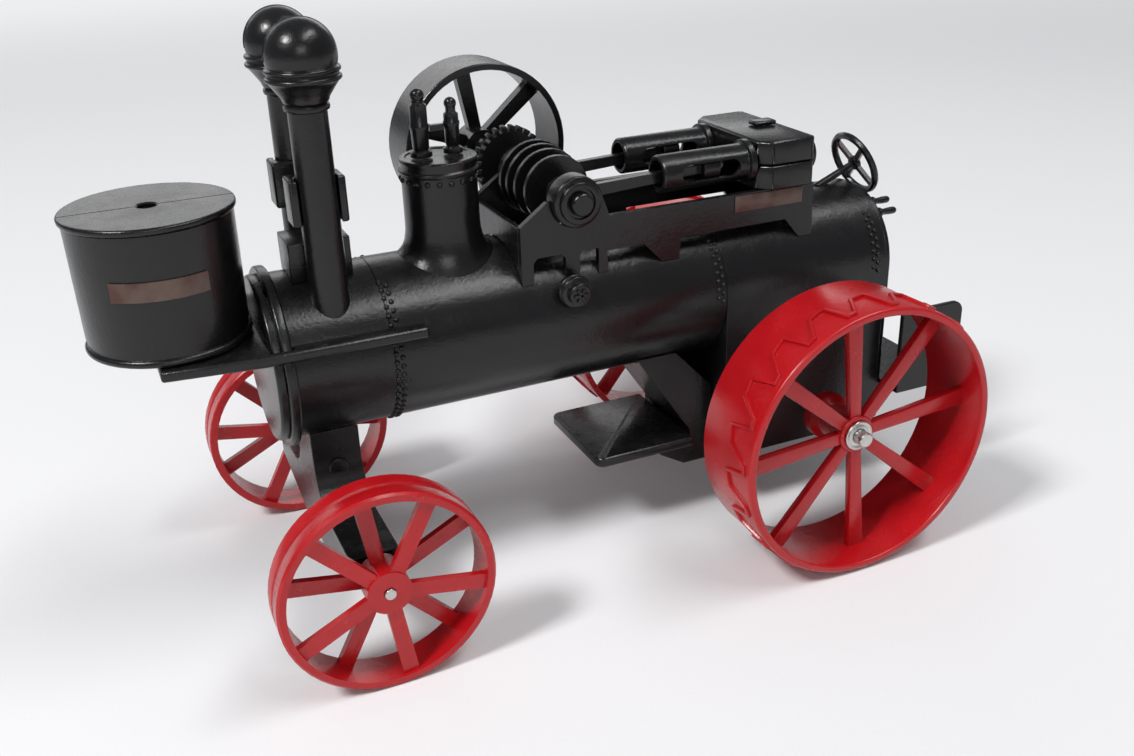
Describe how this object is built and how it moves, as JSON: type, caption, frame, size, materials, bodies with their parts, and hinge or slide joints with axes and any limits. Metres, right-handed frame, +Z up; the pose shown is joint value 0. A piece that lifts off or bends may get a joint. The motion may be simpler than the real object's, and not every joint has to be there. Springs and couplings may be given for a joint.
{
  "type": "steam traction engine toy",
  "caption": "Cast toy of a steam traction engine: black boiler, tank in front, tall stacks, engine on top with a side flywheel, and red spoked wheels that turn.",
  "frame": {"origin": "middle of the engine's length and width, on the floor under the wheels", "axes": "+X towards the front tank, +Y to the engine's left, +Z up"},
  "size_m": [0.3244, 0.1682, 0.2054],
  "materials": {
    "black_paint": "semi-gloss",
    "red_paint": "gloss",
    "bare_steel": "bright"
  },
  "bodies": {
    "chassis": {"backhead": "black_paint", "backhead_lever_1": "black_paint", "backhead_lever_2": "black_paint", "bed_side_left": "black_paint", "bed_side_right": "black_paint", "bed_wall_back": "black_paint", "bed_wall_front": "black_paint", "boiler_barrel": "black_paint", "chest_cap": "black_paint", "chimney_bracket_left": "black_paint", "chimney_bracket_right": "black_paint", "chimney_left": "black_paint", "chimney_right": "black_paint", "chimney_saddle": "black_paint", "connecting_rod_left": "black_paint", "connecting_rod_right": "black_paint", "crank_bearing_left": "black_paint", "crank_bearing_right": "black_paint", "crosshead_guide_left": "black_paint", "crosshead_guide_right": "black_paint", "cylinder_block": "black_paint", "cylinder_cover_left": "black_paint", "cylinder_cover_right": "black_paint", "feed_valve_left": "black_paint", "feed_valve_right": "black_paint", "firebox": "black_paint", "footplate": "black_paint", "front_axle": "bare_steel", "front_pedestal": "black_paint", "front_tank": "black_paint", "platform_deck": "black_paint", "push_nut_left": "bare_steel", "push_nut_right": "bare_steel", "rear_axle": "bare_steel", "safety_valve_back": "black_paint", "safety_valve_bar": "black_paint", "safety_valve_front": "black_paint", "smokebox": "black_paint", "smokebox_door": "black_paint", "smokebox_ring": "black_paint", "steam_dome": "black_paint", "steering_column": "black_paint", "steering_wheel": "black_paint", "step_bracket": "black_paint", "step_plate": "black_paint", "tank_lid": "black_paint", "valve_chest": "black_paint"},
    "rear_wheel_left": {"rear_wheel_left": "red_paint"},
    "rear_wheel_right": {"rear_wheel_right": "red_paint"},
    "front_wheel_left": {"front_wheel_left": "red_paint"},
    "front_wheel_right": {"front_wheel_right": "red_paint"},
    "crank": {"crankshaft": "black_paint", "crank_gear": "black_paint", "flywheel": "black_paint"}
  },
  "joints": [
    {"name": "rear_wheel_left_spin", "type": "hinge", "parent": "chassis", "child": "rear_wheel_left", "pos_m": [-0.0847, 0.0686, 0.0525], "axis": [0, 1, 0], "continuous": true},
    {"name": "rear_wheel_right_spin", "type": "hinge", "parent": "chassis", "child": "rear_wheel_right", "pos_m": [-0.0847, -0.0686, 0.0525], "axis": [0, 1, 0], "continuous": true},
    {"name": "front_wheel_left_spin", "type": "hinge", "parent": "chassis", "child": "front_wheel_left", "pos_m": [0.0893, 0.0626, 0.0358], "axis": [0, 1, 0], "continuous": true},
    {"name": "front_wheel_right_spin", "type": "hinge", "parent": "chassis", "child": "front_wheel_right", "pos_m": [0.0893, -0.0626, 0.0358], "axis": [0, 1, 0], "continuous": true},
    {"name": "crank_spin", "type": "hinge", "parent": "chassis", "child": "crank", "pos_m": [0.0008, -0.024, 0.1388], "axis": [0, 1, 0], "continuous": true}
  ]
}
